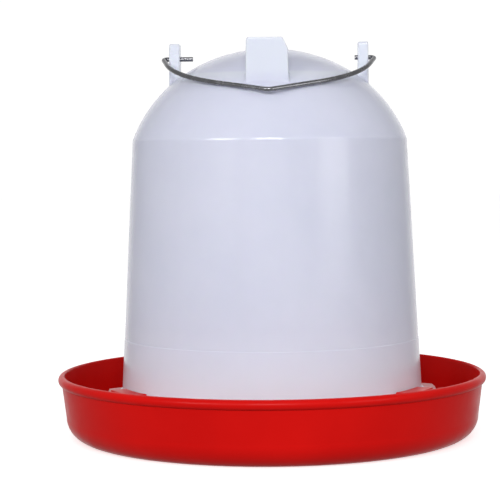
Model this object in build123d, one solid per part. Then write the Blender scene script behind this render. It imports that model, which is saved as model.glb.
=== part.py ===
from build123d import *
import math
import os

# Poultry waterer of the siphon kind: a bell-shaped fount stands in a round drinking tray and is
# held to it by a bayonet. A wire bail hangs in two of the four legs on top of the fount, on
# which the fount stands upside down while it is filled.
# Millimetres, +Z up, the origin is the centre of the tray's underside, where it stands. The two
# legs with the bail's eyes are on the X axis, and the bail lies towards -Y.

# Tray
TRAY_HEIGHT = 56.0
TRAY_LIP_RADIUS = 187.0
TRAY_BEAD_RADIUS = 4.2
TRAY_BEAD_INNER_RADIUS = 1.4
TRAY_TOP_RADIUS = 183.8
TRAY_FOOT_RADIUS = 180.2
TRAY_CORNER_RADIUS = 20.0
TRAY_WALL = 2.5
TROUGH_FILLET = 5.0

# Platform in the middle of the tray, on which the fount stands
PLATFORM_HEIGHT = 33.0
PLATFORM_RADIUS = 137.0
PLATFORM_DRAFT = 2.0
PLATFORM_FILLET = 3.0
SEAT_RING_HEIGHT = 4.0
SEAT_RING_WIDTH = 2.4
SEAT_RING_GAP = 1.2

# Bayonet: three hooks on the tray, three long lugs on the fount
BAYONET_COUNT = 3
HOOK_AZIMUTH = 210.5
HOOK_SPAN = 17.0
HOOK_WALL = 3.0
HOOK_TOP_THICKNESS = 6.0
HOOK_REACH_GAP = 1.1
LUG_HEIGHT = 4.7
LUG_THICKNESS = 3.0
LUG_REACH = 11.6
LUG_SPAN = 68.0
LUG_LEAD_IN = 5.0
LUG_AHEAD = 3.6
LUG_GAP = 0.5
LUG_EDGE_GAP = 1.0
STOP_WIDTH = 5.6
STOP_HEIGHT = 3.2
STOP_GAP = 0.3

# Fount
FOOT_GAP = 0.3
FOUNT_FOOT_RADIUS = 131.6
FOUNT_SHOULDER_RADIUS = 119.9
FOUNT_SHOULDER_HEIGHT = 226.0
FOUNT_WALL = 2.8
FOOT_BAND_HEIGHT = 53.3
FOOT_BAND_STEP = 0.25
DOME_HEIGHT = 79.5
DOME_SHOULDER_ANGLE = 20.4
DOME_JOIN_ANGLE = 59.5
SHOULDER_FILLET = 5.0
NOTCH_WIDTH = 14.0
NOTCH_HEIGHT = 5.5

# Legs on the dome: two broad ones on the Y axis, two narrower ones with the eyes on the X axis
LEG_RADIUS = 82.2
LEG_WIDTH = 34.6
EYE_LEG_WIDTH = 24.0
LEG_THICKNESS = 9.0
LEG_PROUD = 4.7
LEG_DRAFT = 0.9
LEG_CORNER_WIDTH = 4.4
LEG_CORNER_DROP = 9.4
LEG_ROUND = 2.4
LEG_EDGE_FILLET = 1.2
LEG_ROOT_FILLET = 2.4

# Bail
WIRE_DIAMETER = 4.0
EYE_CLEARANCE = 0.4
EYE_BELOW_LEG_TOP = 13.2
BAIL_SIDE_GAP = 3.9
BAIL_REACH = 110.0
BAIL_BEND_RADIUS = 3.4
BAIL_ARM_LEAN = 12.5
BAIL_FRONT_SLOPE = 30.0
BAIL_CORNER_RADIUS = 100.0
BAIL_KINK_RADIUS = 6.0
BAIL_KINK_OFFSET = 1.5
BAIL_TAIL_LEFT = 11.2
BAIL_TAIL_RIGHT = 2.6
BAIL_REST_GAP = 0.3

# Levels and radii that follow from the sizes above
foot_z = PLATFORM_HEIGHT + FOOT_GAP
shoulder_z = foot_z + FOUNT_SHOULDER_HEIGHT
dome_top_z = shoulder_z + DOME_HEIGHT
leg_top_z = dome_top_z + LEG_PROUD
lug_low_z = foot_z + LUG_HEIGHT
lug_top_z = lug_low_z + LUG_THICKNESS
lug_radius = FOUNT_FOOT_RADIUS + LUG_REACH
hook_under_z = lug_top_z + LUG_GAP
hook_top_z = hook_under_z + HOOK_TOP_THICKNESS
hook_in_radius = FOUNT_FOOT_RADIUS + HOOK_REACH_GAP
hook_post_radius = lug_radius + LUG_EDGE_GAP
hook_out_radius = hook_post_radius + HOOK_WALL
eye_z = leg_top_z - EYE_BELOW_LEG_TOP
wire_radius = WIRE_DIAMETER / 2
bail_half_width = LEG_RADIUS + LEG_THICKNESS / 2 + BAIL_SIDE_GAP + wire_radius

# The dome is two arcs that run into each other: a crown on the axis and a tighter one down to the
# shoulder. The angles are those of the outward normals above level, at the shoulder and the join.
shoulder_cos = math.cos(math.radians(DOME_SHOULDER_ANGLE))
shoulder_sin = math.sin(math.radians(DOME_SHOULDER_ANGLE))
join_cos = math.cos(math.radians(DOME_JOIN_ANGLE))
join_sin = math.sin(math.radians(DOME_JOIN_ANGLE))
side_run = shoulder_cos - join_cos
side_rise = join_sin - shoulder_sin
arc_share = join_cos * side_rise - (1 - join_sin) * side_run
crown_radius = (FOUNT_SHOULDER_RADIUS * side_rise - DOME_HEIGHT * side_run) / arc_share
side_radius = (DOME_HEIGHT * join_cos - FOUNT_SHOULDER_RADIUS * (1 - join_sin)) / arc_share
crown_z = dome_top_z - crown_radius
side_x = FOUNT_SHOULDER_RADIUS - side_radius * shoulder_cos
side_z = shoulder_z - side_radius * shoulder_sin


def on_crown(depth, angle):
    radius = crown_radius - depth
    turn = math.radians(angle)
    return (radius * math.cos(turn), crown_z + radius * math.sin(turn))


def on_side(depth, angle):
    radius = side_radius - depth
    turn = math.radians(angle)
    return (side_x + radius * math.cos(turn), side_z + radius * math.sin(turn))


def draw_dome(depth):
    # The dome's section at this depth below its outside, from the shoulder up to the axis.
    side_mid = (DOME_SHOULDER_ANGLE + DOME_JOIN_ANGLE) / 2
    crown_mid = (DOME_JOIN_ANGLE + 90) / 2
    ThreePointArc(
        on_side(depth, DOME_SHOULDER_ANGLE),
        on_side(depth, side_mid),
        on_side(depth, DOME_JOIN_ANGLE),
    )
    ThreePointArc(
        on_side(depth, DOME_JOIN_ANGLE),
        on_crown(depth, crown_mid),
        (0, dome_top_z - depth),
    )


def fount_radius(z):
    share = (z - foot_z) / FOUNT_SHOULDER_HEIGHT
    return FOUNT_FOOT_RADIUS + (FOUNT_SHOULDER_RADIUS - FOUNT_FOOT_RADIUS) * share


def polar(radius, angle):
    turn = math.radians(angle)
    return (radius * math.cos(turn), radius * math.sin(turn))


def ring_sector(r_in, r_out, low, high, start, end):
    # A block between two radii, two levels and two angles.
    mid = (start + end) / 2
    with BuildPart() as block:
        with BuildSketch(Plane.XY.offset(low)):
            with BuildLine():
                ThreePointArc(polar(r_out, start), polar(r_out, mid), polar(r_out, end))
                Line(polar(r_out, end), polar(r_in, end))
                ThreePointArc(polar(r_in, end), polar(r_in, mid), polar(r_in, start))
                Line(polar(r_in, start), polar(r_out, start))
            make_face()
        extrude(amount=high - low)
    return block.part


def rounded_path(points, radii):
    # Straight runs between the points, with an arc of the stated radius at each inner point.
    edges = []
    start = Vector(*points[0])
    for before, corner, after, radius in zip(points, points[1:], points[2:], radii):
        corner = Vector(*corner)
        back = (Vector(*before) - corner).normalized()
        ahead = (Vector(*after) - corner).normalized()
        half = math.radians(back.get_angle(ahead)) / 2
        reach = radius / math.tan(half)
        arc_start = corner + back * reach
        arc_end = corner + ahead * reach
        middle = (back + ahead).normalized()
        arc_mid = corner + middle * (radius / math.sin(half) - radius)
        edges.append(Edge.make_line(start, arc_start))
        edges.append(Edge.make_three_point_arc(arc_start, arc_mid, arc_end))
        start = arc_end
    edges.append(Edge.make_line(start, Vector(*points[-1])))
    return Wire(edges)


def around(shape, count, start):
    return [Rot(0, 0, start + 360 / count * i) * shape for i in range(count)]


def make_tray():
    draft = math.tan(math.radians(PLATFORM_DRAFT))
    in_corner = TRAY_CORNER_RADIUS - TRAY_WALL
    foot_in = TRAY_FOOT_RADIUS - TRAY_WALL
    step_top = PLATFORM_RADIUS
    step_foot = PLATFORM_RADIUS + (PLATFORM_HEIGHT - TRAY_WALL) * draft
    under_top = step_top - TRAY_WALL
    under_foot = step_foot - TRAY_WALL
    bead_r = TRAY_LIP_RADIUS - TRAY_BEAD_RADIUS
    bead_z = TRAY_HEIGHT - TRAY_BEAD_RADIUS
    bead_end = math.acos((TRAY_TOP_RADIUS - bead_r) / TRAY_BEAD_RADIUS)
    bead_end_z = bead_z - TRAY_BEAD_RADIUS * math.sin(bead_end)
    lip_in = bead_r - TRAY_BEAD_INNER_RADIUS
    lip_in_z = TRAY_HEIGHT - TRAY_BEAD_INNER_RADIUS
    corner_z = TRAY_CORNER_RADIUS
    slant = math.sqrt(0.5)
    with BuildPart() as tray:
        with BuildSketch(Plane.XZ):
            with BuildLine():
                Line((0, PLATFORM_HEIGHT), (step_top, PLATFORM_HEIGHT))
                Line((step_top, PLATFORM_HEIGHT), (step_foot, TRAY_WALL))
                Line((step_foot, TRAY_WALL), (foot_in - in_corner, TRAY_WALL))
                ThreePointArc(
                    (foot_in - in_corner, TRAY_WALL),
                    (foot_in - in_corner * (1 - slant), corner_z - in_corner * slant),
                    (foot_in, corner_z),
                )
                Line((foot_in, corner_z), (lip_in, lip_in_z))
                ThreePointArc(
                    (lip_in, lip_in_z),
                    (bead_r - TRAY_BEAD_INNER_RADIUS * slant, lip_in_z + TRAY_BEAD_INNER_RADIUS * slant),
                    (bead_r, TRAY_HEIGHT),
                )
                ThreePointArc(
                    (bead_r, TRAY_HEIGHT),
                    (TRAY_LIP_RADIUS, bead_z),
                    (TRAY_TOP_RADIUS, bead_end_z),
                )
                Line((TRAY_TOP_RADIUS, bead_end_z), (TRAY_FOOT_RADIUS, corner_z))
                ThreePointArc(
                    (TRAY_FOOT_RADIUS, corner_z),
                    (TRAY_FOOT_RADIUS - corner_z * (1 - slant), corner_z * (1 - slant)),
                    (TRAY_FOOT_RADIUS - corner_z, 0),
                )
                Line((TRAY_FOOT_RADIUS - corner_z, 0), (under_foot, 0))
                Line((under_foot, 0), (under_top, PLATFORM_HEIGHT - TRAY_WALL))
                Line((under_top, PLATFORM_HEIGHT - TRAY_WALL), (0, PLATFORM_HEIGHT - TRAY_WALL))
                Line((0, PLATFORM_HEIGHT - TRAY_WALL), (0, PLATFORM_HEIGHT))
            make_face()
        revolve(axis=Axis.Z)
    body = tray.part
    rim = [e for e in body.edges() if abs(e.center().Z - PLATFORM_HEIGHT) < 0.01]
    body = body.fillet(PLATFORM_FILLET, rim)
    root = [
        e
        for e in body.edges().filter_by(GeomType.CIRCLE)
        if abs(e.center().Z - TRAY_WALL) < 0.01 and abs(e.radius - step_foot) < 0.01
    ]
    body = body.fillet(TROUGH_FILLET, root)

    # The ring that keeps the fount's foot in the middle.
    ring_out = FOUNT_FOOT_RADIUS - FOUNT_WALL - SEAT_RING_GAP
    ring_top = PLATFORM_HEIGHT + SEAT_RING_HEIGHT
    ring = Pos(0, 0, PLATFORM_HEIGHT - 1) * extrude(
        Circle(ring_out) - Circle(ring_out - SEAT_RING_WIDTH), amount=SEAT_RING_HEIGHT + 1
    )
    rim = [e for e in ring.edges() if abs(e.center().Z - ring_top) < 0.01]
    body = body + ring.chamfer(0.8, None, rim)

    # Hooks: a hollow block beside the platform, a post outside the lug and a top over the lug.
    half = HOOK_SPAN / 2
    wall_turn = math.degrees(TRAY_WALL / hook_out_radius)
    block_top = lug_low_z - LUG_GAP
    block_out = hook_post_radius + HOOK_WALL / 2
    block = ring_sector(PLATFORM_RADIUS - 2, block_out, 1, block_top, -half, half)
    post = ring_sector(hook_post_radius, hook_out_radius, 1, hook_top_z, -half, half)
    top = ring_sector(hook_in_radius, hook_out_radius, hook_under_z, hook_top_z, -half, half)
    arm = post + top
    corners = [
        e
        for e in arm.edges().filter_by(Axis.Z)
        if math.hypot(e.center().X, e.center().Y) > hook_out_radius - 0.1
    ]
    arm = arm.fillet(1.2, corners)
    crest = [
        e
        for e in arm.edges()
        if abs(e.center().Z - hook_top_z) < 0.01
        and abs(e.position_at(0).Z - e.position_at(1).Z) < 0.01
    ]
    arm = arm.fillet(0.8, crest)
    core = ring_sector(
        PLATFORM_RADIUS - TRAY_WALL - 4,
        hook_post_radius,
        -1,
        block_top - TRAY_WALL,
        -half + wall_turn,
        half - wall_turn,
    )
    for hook in around(block + arm, BAYONET_COUNT, HOOK_AZIMUTH):
        body = body + hook
    for pocket in around(core, BAYONET_COUNT, HOOK_AZIMUTH):
        body = body - pocket
    return body


def make_leg(width):
    # The leg on the -Y side, drawn as seen from outside, with one top corner cut off.
    half = width / 2
    low_z = shoulder_z + DOME_HEIGHT / 2
    with BuildPart() as leg:
        with BuildSketch(Plane.XZ.offset(LEG_RADIUS - LEG_THICKNESS / 2)):
            with BuildLine():
                Polyline(
                    (-half - LEG_DRAFT, low_z),
                    (-half, leg_top_z),
                    (half - LEG_CORNER_WIDTH, leg_top_z),
                    (half, leg_top_z - LEG_CORNER_DROP),
                    (half + LEG_DRAFT, low_z),
                    close=True,
                )
            make_face()
        extrude(amount=LEG_THICKNESS)
        sides = leg.edges().filter_by(Axis.Y)
        fillet([e for e in sides if e.center().Z > leg_top_z - 1], LEG_ROUND)
        ends = leg.faces().filter_by(Axis.Y).edges()
        fillet([e for e in ends if e.center().Z > low_z + 1], LEG_EDGE_FILLET)
    return leg.part


def make_fount():
    band_z = foot_z + FOOT_BAND_HEIGHT
    band_r = fount_radius(band_z)
    with BuildPart() as outer:
        with BuildSketch(Plane.XZ):
            with BuildLine():
                Line((0, foot_z), (FOUNT_FOOT_RADIUS, foot_z))
                Line((FOUNT_FOOT_RADIUS, foot_z), (band_r, band_z))
                Line((band_r, band_z), (band_r - FOOT_BAND_STEP, band_z + FOOT_BAND_STEP))
                Line(
                    (band_r - FOOT_BAND_STEP, band_z + FOOT_BAND_STEP),
                    (FOUNT_SHOULDER_RADIUS, shoulder_z),
                )
                draw_dome(0)
                Line((0, dome_top_z), (0, foot_z))
            make_face()
        revolve(axis=Axis.Z)
    shell = outer.part
    shoulder = [
        e
        for e in shell.edges().filter_by(GeomType.CIRCLE)
        if abs(e.center().Z - shoulder_z) < 0.01
    ]
    shell = shell.fillet(SHOULDER_FILLET, shoulder)

    with BuildPart() as inner:
        with BuildSketch(Plane.XZ):
            with BuildLine():
                Line((0, foot_z - 1), (FOUNT_FOOT_RADIUS - FOUNT_WALL, foot_z - 1))
                Line(
                    (FOUNT_FOOT_RADIUS - FOUNT_WALL, foot_z - 1),
                    (FOUNT_FOOT_RADIUS - FOUNT_WALL, foot_z),
                )
                Line(
                    (FOUNT_FOOT_RADIUS - FOUNT_WALL, foot_z),
                    on_side(FOUNT_WALL, DOME_SHOULDER_ANGLE),
                )
                draw_dome(FOUNT_WALL)
                Line((0, dome_top_z - FOUNT_WALL), (0, foot_z - 1))
            make_face()
        revolve(axis=Axis.Z)

    for i, width in enumerate((LEG_WIDTH, EYE_LEG_WIDTH, LEG_WIDTH, EYE_LEG_WIDTH)):
        shell = shell + Rot(0, 0, 90 * i) * make_leg(width)
    roots = [
        e
        for e in shell.edges().filter_by(GeomType.BSPLINE)
        if shoulder_z < e.center().Z < leg_top_z - LEG_CORNER_DROP - LEG_ROUND
    ]
    shell = shell.fillet(LEG_ROOT_FILLET, roots)
    shell = shell - inner.part

    # Eyes for the bail in the two legs on the X axis.
    eye = Cylinder(wire_radius + EYE_CLEARANCE, LEG_THICKNESS + 6)
    for side in (-1, 1):
        shell = shell - Pos(side * LEG_RADIUS, 0, eye_z) * Rot(0, 90, 0) * eye

    # Lugs with slanted ends, each with a stop that meets the side of its hook when locked.
    root_r = FOUNT_FOOT_RADIUS - FOUNT_WALL / 2
    span = LUG_SPAN / 2
    with BuildPart() as lug:
        with BuildSketch(Plane.XY.offset(lug_low_z)):
            with BuildLine():
                ThreePointArc(polar(lug_radius, -span), (lug_radius, 0), polar(lug_radius, span))
                Line(polar(lug_radius, span), polar(root_r, span + LUG_LEAD_IN))
                ThreePointArc(
                    polar(root_r, span + LUG_LEAD_IN),
                    (root_r, 0),
                    polar(root_r, -span - LUG_LEAD_IN),
                )
                Line(polar(root_r, -span - LUG_LEAD_IN), polar(lug_radius, -span))
            make_face()
        extrude(amount=LUG_THICKNESS)
        fillet(lug.edges().filter_by(Axis.Z).sort_by(SortBy.DISTANCE)[-2:], 2)
    hook_side = -LUG_AHEAD - HOOK_SPAN / 2
    stop_end = hook_side - math.degrees(STOP_GAP / FOUNT_FOOT_RADIUS)
    stop_start = stop_end - math.degrees(STOP_WIDTH / FOUNT_FOOT_RADIUS)
    stop = ring_sector(
        root_r, lug_radius - 2, lug_top_z - 1, lug_top_z + STOP_HEIGHT, stop_start, stop_end
    )
    for one in around(lug.part + stop, BAYONET_COUNT, HOOK_AZIMUTH + LUG_AHEAD):
        shell = shell + one

    # Notches in the foot, between the lugs, that let the water out and the air in.
    notch = Pos(FOUNT_FOOT_RADIUS, 0, foot_z + NOTCH_HEIGHT / 2 - 1) * Box(
        20, NOTCH_WIDTH, NOTCH_HEIGHT + 2
    )
    halfway = HOOK_AZIMUTH + LUG_AHEAD + 180 / BAYONET_COUNT
    for one in around(notch, BAYONET_COUNT, halfway):
        shell = shell - one
    return shell


def bail_points():
    # Corners of the bail in its own plane, x along the hinge and y the reach from it.
    lean = math.tan(math.radians(BAIL_ARM_LEAN))
    slope = math.tan(math.radians(BAIL_FRONT_SLOPE))
    corner_y = (BAIL_REACH - slope * bail_half_width) / (1 - slope * lean)
    corner_x = bail_half_width - lean * corner_y
    leg_in = LEG_RADIUS - LEG_THICKNESS / 2
    return [
        (-leg_in + BAIL_TAIL_LEFT, 0, 0),
        (-bail_half_width, 0, 0),
        (-corner_x, corner_y, 0),
        (BAIL_KINK_OFFSET, BAIL_REACH, 0),
        (corner_x, corner_y, 0),
        (bail_half_width, 0, 0),
        (leg_in - BAIL_TAIL_RIGHT, 0, 0),
    ]


def gap_to_dome(path, drop):
    # Smallest gap between the wire and the dome with the bail lying at this angle.
    gap = 1000.0
    for i in range(201):
        spot = path.position_at(i / 200)
        if spot.Y < 2 * BAIL_BEND_RADIUS:
            continue
        radius = math.hypot(spot.X, spot.Y * math.cos(drop))
        height = eye_z - spot.Y * math.sin(drop)
        if math.degrees(math.atan2(height - crown_z, radius)) > DOME_JOIN_ANGLE:
            outside = math.hypot(radius, height - crown_z) - crown_radius
        else:
            outside = math.hypot(radius - side_x, height - side_z) - side_radius
        gap = min(gap, outside - wire_radius)
    return gap


def rest_drop(path):
    # Angle below level at which the bail comes to lie on the dome.
    high = 0.0
    low = math.radians(60)
    for _ in range(40):
        middle = (high + low) / 2
        if gap_to_dome(path, middle) > BAIL_REST_GAP:
            high = middle
        else:
            low = middle
    return math.degrees(high)


def make_bail():
    bends = [
        BAIL_BEND_RADIUS,
        BAIL_CORNER_RADIUS,
        BAIL_KINK_RADIUS,
        BAIL_CORNER_RADIUS,
        BAIL_BEND_RADIUS,
    ]
    path = rounded_path(bail_points(), bends)
    section = Plane(origin=path.position_at(0), z_dir=path.tangent_at(0)) * Circle(wire_radius)
    wire = sweep(section, path)
    drop = rest_drop(path)
    print(f"bail lies {drop:.2f} degrees below level, swings {180 + 2 * drop:.1f} degrees")
    return Pos(0, 0, eye_z) * Rot(drop, 0, 0) * mirror(wire, Plane.XZ)


os.makedirs("parts", exist_ok=True)
export_step(make_tray(), "parts/tray.step")
export_step(make_fount(), "parts/fount.step")
export_step(make_bail(), "parts/bail.step")
print(f"eye height {eye_z:.2f}, dome top {dome_top_z:.2f}, leg top {leg_top_z:.2f}")
print(f"hook top {hook_top_z:.2f}, lug radius {lug_radius:.2f}")
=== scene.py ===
import math

import bpy
from mathutils import Matrix, Vector

# Looks of a siphon poultry waterer: a white fount of milky polyethylene, a glossy red
# polypropylene tray and a bail of galvanised wire, on a white table in soft light.

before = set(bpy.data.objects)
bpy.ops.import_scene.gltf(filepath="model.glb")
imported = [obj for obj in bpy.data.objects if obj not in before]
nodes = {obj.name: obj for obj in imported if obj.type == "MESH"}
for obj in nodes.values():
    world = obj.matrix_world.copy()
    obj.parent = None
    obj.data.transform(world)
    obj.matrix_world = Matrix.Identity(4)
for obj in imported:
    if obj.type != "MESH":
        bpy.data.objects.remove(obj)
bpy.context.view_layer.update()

# Levels and radii on the fount, in metres
FOOT_Z = 0.033
FOOT_EDGE_TOP_Z = FOOT_Z + 0.004
# Heights where the painted light on the foot is full and where it has faded out
FOOT_PAINTED_LIGHT_LOW_Z = FOOT_Z + 0.01
FOOT_PAINTED_LIGHT_HIGH_Z = FOOT_Z + 0.07
LEG_ROOT_Z = 0.305
LEG_FADE = 0.012
LEG_INNER_R = 0.077
LEG_EDGE = 0.003
LUG_ROOT_R = 0.132
LUG_EDGE = 0.002

# Colours of the milky plastic, the red plastic and the zinc, and of the painted light on the fount's
# foot and the painted red shade on its lugs and bottom edge
MILK = (0.72, 0.735, 0.89)
MILK_SHADE = (0.68, 0.70, 0.85)
MILK_STREAK = (0.66, 0.67, 0.81)
# Painted light: the brighter, bluer white laid on the foot where the tray's rim shades it
MILK_FOOT_PAINTED_LIGHT = (0.79, 0.83, 0.985)
MILK_THICK = (0.75, 0.785, 0.885)
# Painted shade, reddened by painted light from the red tray, for the lugs and the foot's bottom edge
MILK_PAINTED_RED_SHADE = (0.72, 0.22, 0.19)
MILK_SCUFF = (0.80, 0.80, 0.86)
RED = (0.68, 0.0045, 0.003)
RED_SHADE = (0.62, 0.0035, 0.0025)
RED_SCUFF = (0.72, 0.03, 0.02)
ZINC_DARK = (0.21, 0.21, 0.225)
ZINC_LIGHT = (0.27, 0.27, 0.285)
ZINC_DULL = (0.15, 0.15, 0.16)
TABLE_SHADE = (0.84, 0.84, 0.84)
TABLE_WHITE = (0.87, 0.87, 0.87)
WHITE = (1.0, 1.0, 1.0, 1.0)

# Roughness from the glossiest to the dullest places, and what the lugs' scuffing adds
MILK_ROUGHNESS = (0.17, 0.25)
LUG_DULLNESS = 0.5
RED_ROUGHNESS = (0.28, 0.38)
ZINC_ROUGHNESS = (0.22, 0.30)
TABLE_ROUGHNESS = 0.8

# Depths of the surfaces' relief, in metres: the moulded skin, the slow swell and the zinc's grain
SKIN_DEPTH = 0.00003
MILK_SWELL_DEPTH = 0.0004
RED_SWELL_DEPTH = 0.0003
GRAIN_DEPTH = 0.00002

# How far light wanders in the milky plastic, in metres, and how much of it does
MILK_SCATTER = 0.004
MILK_SCATTER_SHARE = 0.6

# Table, room and lamps: places and sizes in metres, powers in watts
TABLE_RADIUS = 9.0
TABLE_GLOW = 0.66
ROOM_GLOW = 0.36
WALL_GLOW = 1.04
WALL_FROM, WALL_TO = 0.76, 0.94
LAMPS = {
    "left_softbox": {"place": (-1.45, -1.90, 1.02), "aim": (0, 0, 0.20),
        "size": (0.85, 0.45), "power": 17},
    "front_softbox": {"place": (0.02, -2.35, 1.08), "aim": (0, 0, 0.20),
        "size": (0.85, 0.40), "power": 23.5},
    "right_fill": {"place": (1.6, -1.2, 0.7), "aim": (0, 0, 0.16),
        "size": (0.9, 0.9), "power": 7},
    "top_light": {"place": (-0.1, -0.5, 2.1), "aim": (0, 0, 0.1),
        "size": (1.4, 1.4), "power": 1.0},
}

# Camera: place and aim in metres, lens and sensor in millimetres
CAMERA_PLACE = Vector((0.0272, -1.5273, 0.2460))
CAMERA_AIM = Vector((-0.0177, 0.0, 0.2064))
CAMERA_ROLL = math.radians(-0.57)
LENS = 125.3
LENS_DROP = 0.10
SENSOR_WIDTH = 36.0


# Small helpers for materials -------------------------------------------------------------

def new_material(name):
    mat = bpy.data.materials.new(name)
    mat.use_nodes = True
    mat.node_tree.nodes.clear()
    out = mat.node_tree.nodes.new("ShaderNodeOutputMaterial")
    shader = mat.node_tree.nodes.new("ShaderNodeBsdfPrincipled")
    mat.node_tree.links.new(shader.outputs["BSDF"], out.inputs["Surface"])
    return mat, mat.node_tree, shader


def object_coords(tree):
    return tree.nodes.new("ShaderNodeTexCoord").outputs["Object"]


def noise(tree, coords, scale, detail=3.0, rough=0.5, stretch=(1, 1, 1)):
    node = tree.nodes.new("ShaderNodeTexNoise")
    node.inputs["Scale"].default_value = scale
    node.inputs["Detail"].default_value = detail
    node.inputs["Roughness"].default_value = rough
    if stretch != (1, 1, 1):
        place = tree.nodes.new("ShaderNodeMapping")
        place.inputs["Scale"].default_value = stretch
        tree.links.new(coords, place.inputs["Vector"])
        coords = place.outputs["Vector"]
    tree.links.new(coords, node.inputs["Vector"])
    return node.outputs["Fac"]


def spread(tree, value, low, high, to_low, to_high):
    node = tree.nodes.new("ShaderNodeMapRange")
    node.inputs["From Min"].default_value = low
    node.inputs["From Max"].default_value = high
    node.inputs["To Min"].default_value = to_low
    node.inputs["To Max"].default_value = to_high
    tree.links.new(value, node.inputs["Value"])
    return node.outputs["Result"]


def mix_colours(tree, share, first, second):
    node = tree.nodes.new("ShaderNodeMix")
    node.data_type = "RGBA"
    for socket, value in ((0, share), (6, first), (7, second)):
        if isinstance(value, (int, float)):
            node.inputs[socket].default_value = value
        elif isinstance(value, tuple):
            node.inputs[socket].default_value = (*value, 1.0)
        else:
            tree.links.new(value, node.inputs[socket])
    return node.outputs[2]


def bump(tree, height, distance, strength=1.0, below=None):
    node = tree.nodes.new("ShaderNodeBump")
    node.inputs["Distance"].default_value = distance
    node.inputs["Strength"].default_value = strength
    tree.links.new(height, node.inputs["Height"])
    if below is not None:
        tree.links.new(below, node.inputs["Normal"])
    return node.outputs["Normal"]


def combine(tree, kind, first, second):
    node = tree.nodes.new("ShaderNodeMath")
    node.operation = kind
    tree.links.new(first, node.inputs[0])
    tree.links.new(second, node.inputs[1])
    return node.outputs["Value"]


def from_axis(tree, coords):
    # Distance from the waterer's upright axis.
    flat = tree.nodes.new("ShaderNodeVectorMath")
    flat.operation = "MULTIPLY"
    flat.inputs[1].default_value = (1.0, 1.0, 0.0)
    length = tree.nodes.new("ShaderNodeVectorMath")
    length.operation = "LENGTH"
    tree.links.new(coords, flat.inputs[0])
    tree.links.new(flat.outputs["Vector"], length.inputs[0])
    return length.outputs["Value"]


# Materials -------------------------------------------------------------------------------

def milky_plastic():
    mat, tree, shader = new_material("milky_polyethylene")
    at = object_coords(tree)
    clouds = spread(tree, noise(tree, at, scale=9.0, detail=4.0, rough=0.6), 0.35, 0.65, 0.0, 1.0)
    tone = mix_colours(tree, clouds, MILK_SHADE, MILK)
    drawn_out = noise(tree, at, scale=34.0, stretch=(1, 1, 0.10))
    streaks = spread(tree, drawn_out, 0.52, 0.80, 0.0, 0.25)
    tone = mix_colours(tree, streaks, tone, MILK_STREAK)
    # The foot gets painted light, brightest low down where the tray's rim shades it; the solid legs
    # are whiter plastic.
    upright = tree.nodes.new("ShaderNodeSeparateXYZ")
    tree.links.new(at, upright.inputs[0])
    height = upright.outputs["Z"]
    outward = from_axis(tree, at)
    # Painted light on the foot: full up to 10 mm above the foot, fading out by 70 mm.
    low = spread(tree, height, FOOT_PAINTED_LIGHT_LOW_Z, FOOT_PAINTED_LIGHT_HIGH_Z, 1.0, 0.0)
    tone = mix_colours(tree, low, tone, MILK_FOOT_PAINTED_LIGHT)
    high = spread(tree, height, LEG_ROOT_Z, LEG_ROOT_Z + LEG_FADE, 0.0, 1.0)
    leg = spread(tree, outward, LEG_INNER_R - LEG_EDGE, LEG_INNER_R, 0.0, 1.0)
    tone = mix_colours(tree, combine(tree, "MULTIPLY", high, leg), tone, MILK_THICK)
    # The lugs and the very edge of the foot are thin; painted shade, reddened by painted light from
    # the red tray, lies on them.
    edge = spread(tree, height, FOOT_Z, FOOT_EDGE_TOP_Z, 0.45, 0.0)
    tone = mix_colours(tree, edge, tone, MILK_PAINTED_RED_SHADE)
    # Painted red shade on the lugs, outside the lugs' root radius.
    lug = spread(tree, outward, LUG_ROOT_R, LUG_ROOT_R + LUG_EDGE, 0.0, 0.85)
    tone = mix_colours(tree, lug, tone, MILK_PAINTED_RED_SHADE)
    rubbed = noise(tree, at, scale=150.0, detail=6.0, rough=0.7, stretch=(1, 0.3, 1))
    scuffs = spread(tree, rubbed, 0.64, 0.80, 0.0, 0.10)
    tone = mix_colours(tree, scuffs, tone, MILK_SCUFF)
    tree.links.new(tone, shader.inputs["Base Color"])
    gloss = spread(tree, noise(tree, at, scale=45.0, detail=5.0, rough=0.6), 0.3, 0.7, *MILK_ROUGHNESS)
    dull = spread(tree, outward, LUG_ROOT_R, LUG_ROOT_R + LUG_EDGE, 0.0, LUG_DULLNESS)
    tree.links.new(combine(tree, "ADD", gloss, dull), shader.inputs["Roughness"])
    peel = noise(tree, at, scale=420.0, detail=2.0)
    swell = noise(tree, at, scale=14.0, detail=2.0)
    soft = bump(tree, swell, MILK_SWELL_DEPTH, 0.4)
    tree.links.new(bump(tree, peel, SKIN_DEPTH, 0.5, soft), shader.inputs["Normal"])
    shader.subsurface_method = "RANDOM_WALK"
    shader.inputs["Subsurface Weight"].default_value = MILK_SCATTER_SHARE
    shader.inputs["Subsurface Radius"].default_value = (1.0, 0.92, 1.0)
    shader.inputs["Subsurface Scale"].default_value = MILK_SCATTER
    shader.inputs["IOR"].default_value = 1.5
    shader.inputs["Specular IOR Level"].default_value = 0.5
    return mat


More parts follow.
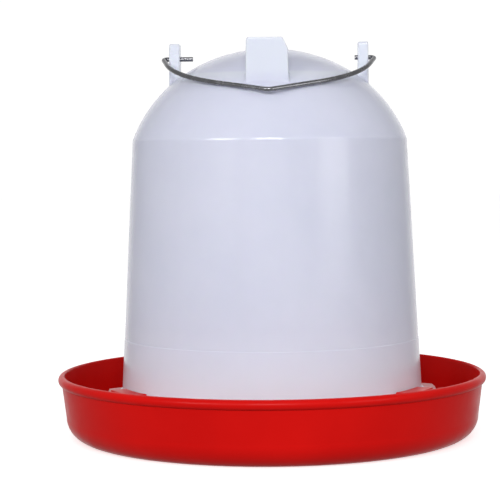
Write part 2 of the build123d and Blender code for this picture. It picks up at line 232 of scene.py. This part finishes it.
def red_plastic():
    mat, tree, shader = new_material("red_polypropylene")
    at = object_coords(tree)
    clouds = spread(tree, noise(tree, at, scale=11.0, detail=4.0, rough=0.55), 0.35, 0.65, 0.0, 1.0)
    tone = mix_colours(tree, clouds, RED_SHADE, RED)
    rubbed = noise(tree, at, scale=160.0, detail=6.0, rough=0.7, stretch=(1, 1, 0.25))
    scuffs = spread(tree, rubbed, 0.64, 0.84, 0.0, 0.06)
    tone = mix_colours(tree, scuffs, tone, RED_SCUFF)
    tree.links.new(tone, shader.inputs["Base Color"])
    gloss = spread(tree, noise(tree, at, scale=60.0, detail=5.0, rough=0.6), 0.3, 0.7, *RED_ROUGHNESS)
    tree.links.new(gloss, shader.inputs["Roughness"])
    peel = noise(tree, at, scale=520.0, detail=2.0)
    swell = noise(tree, at, scale=16.0, detail=2.0)
    soft = bump(tree, swell, RED_SWELL_DEPTH, 0.4)
    tree.links.new(bump(tree, peel, SKIN_DEPTH, 0.5, soft), shader.inputs["Normal"])
    shader.inputs["IOR"].default_value = 1.45
    shader.inputs["Specular IOR Level"].default_value = 0.12
    return mat


def galvanised_wire():
    mat, tree, shader = new_material("galvanised_wire")
    at = object_coords(tree)
    spangle = spread(tree, noise(tree, at, scale=120.0), 0.35, 0.65, 0.0, 1.0)
    tone = mix_colours(tree, spangle, ZINC_DARK, ZINC_LIGHT)
    dull = spread(tree, noise(tree, at, scale=70.0), 0.45, 0.75, 0.0, 0.5)
    tone = mix_colours(tree, dull, tone, ZINC_DULL)
    tree.links.new(tone, shader.inputs["Base Color"])
    gloss = spread(tree, spangle, 0.0, 1.0, *ZINC_ROUGHNESS)
    tree.links.new(gloss, shader.inputs["Roughness"])
    grain = noise(tree, at, scale=900.0, rough=0.6)
    tree.links.new(bump(tree, grain, GRAIN_DEPTH, 0.3), shader.inputs["Normal"])
    shader.inputs["Metallic"].default_value = 0.9
    return mat


def give(obj, mat):
    if not obj.material_slots:
        obj.data.materials.append(mat)
    for one in obj.material_slots:
        one.material = mat


give(nodes["fount"], milky_plastic())
give(nodes["tray"], red_plastic())
give(nodes["bail"], galvanised_wire())


# Table, light and camera -----------------------------------------------------------------

def make_table():
    # A light table: white, and glowing a little, so the shadow on it stays pale. It is hidden
    # from the waterer's bounced and mirrored rays, so it doesn't light the waterer from below.
    bpy.ops.object.select_all(action="DESELECT")
    bpy.ops.mesh.primitive_circle_add(vertices=96, radius=TABLE_RADIUS, fill_type="NGON")
    table = bpy.context.object
    table.name = "table_top"
    table.visible_diffuse = False
    table.visible_glossy = False
    mat, tree, shader = new_material("light_table")
    at = object_coords(tree)
    tone = mix_colours(tree, noise(tree, at, scale=5.0), TABLE_SHADE, TABLE_WHITE)
    tree.links.new(tone, shader.inputs["Base Color"])
    shader.inputs["Roughness"].default_value = TABLE_ROUGHNESS
    shader.inputs["Specular IOR Level"].default_value = 0.1
    shader.inputs["Emission Color"].default_value = WHITE
    shader.inputs["Emission Strength"].default_value = TABLE_GLOW
    give(table, mat)


def area_light(name, place, aim, size, power):
    data = bpy.data.lights.new(name, "AREA")
    data.shape = "RECTANGLE"
    data.size, data.size_y = size
    data.energy = power
    lamp = bpy.data.objects.new(name, data)
    bpy.context.collection.objects.link(lamp)
    look = (Vector(aim) - Vector(place)).to_track_quat("-Z", "Y")
    lamp.matrix_world = Matrix.Translation(place) @ look.to_matrix().to_4x4()


def make_room():
    # A dim, even room with one white wall behind the waterer.
    world = bpy.data.worlds.new("room")
    world.use_nodes = True
    tree = world.node_tree
    ways = tree.nodes.new("ShaderNodeSeparateXYZ")
    tree.links.new(tree.nodes.new("ShaderNodeTexCoord").outputs["Generated"], ways.inputs[0])
    wall = spread(tree, ways.outputs["Y"], WALL_FROM, WALL_TO, 0.0, 1.0)
    glow = tree.nodes.new("ShaderNodeMix")
    tree.links.new(wall, glow.inputs["Factor"])
    glow.inputs[2].default_value = ROOM_GLOW
    glow.inputs[3].default_value = WALL_GLOW
    back = tree.nodes["Background"]
    back.inputs["Color"].default_value = WHITE
    tree.links.new(glow.outputs[0], back.inputs["Strength"])
    bpy.context.scene.world = world


make_table()
make_room()
for name, lamp in LAMPS.items():
    area_light(name, **lamp)

# The camera stands a little to the right of the fount's front leg and looks down slightly, with
# its lens dropped a little, and is held half a degree out of plumb.
camera_data = bpy.data.cameras.new("camera")
camera_data.lens = LENS
camera_data.sensor_width = SENSOR_WIDTH
camera_data.sensor_fit = "HORIZONTAL"
camera_data.shift_y = -LENS_DROP
camera = bpy.data.objects.new("camera", camera_data)
bpy.context.collection.objects.link(camera)
turn = (CAMERA_AIM - CAMERA_PLACE).to_track_quat("-Z", "Y").to_matrix().to_4x4()
camera.matrix_world = Matrix.Translation(CAMERA_PLACE) @ turn @ Matrix.Rotation(CAMERA_ROLL, 4, "Z")
bpy.context.scene.camera = camera
bpy.context.scene.view_settings.view_transform = "Standard"
bpy.context.scene.view_settings.look = "None"
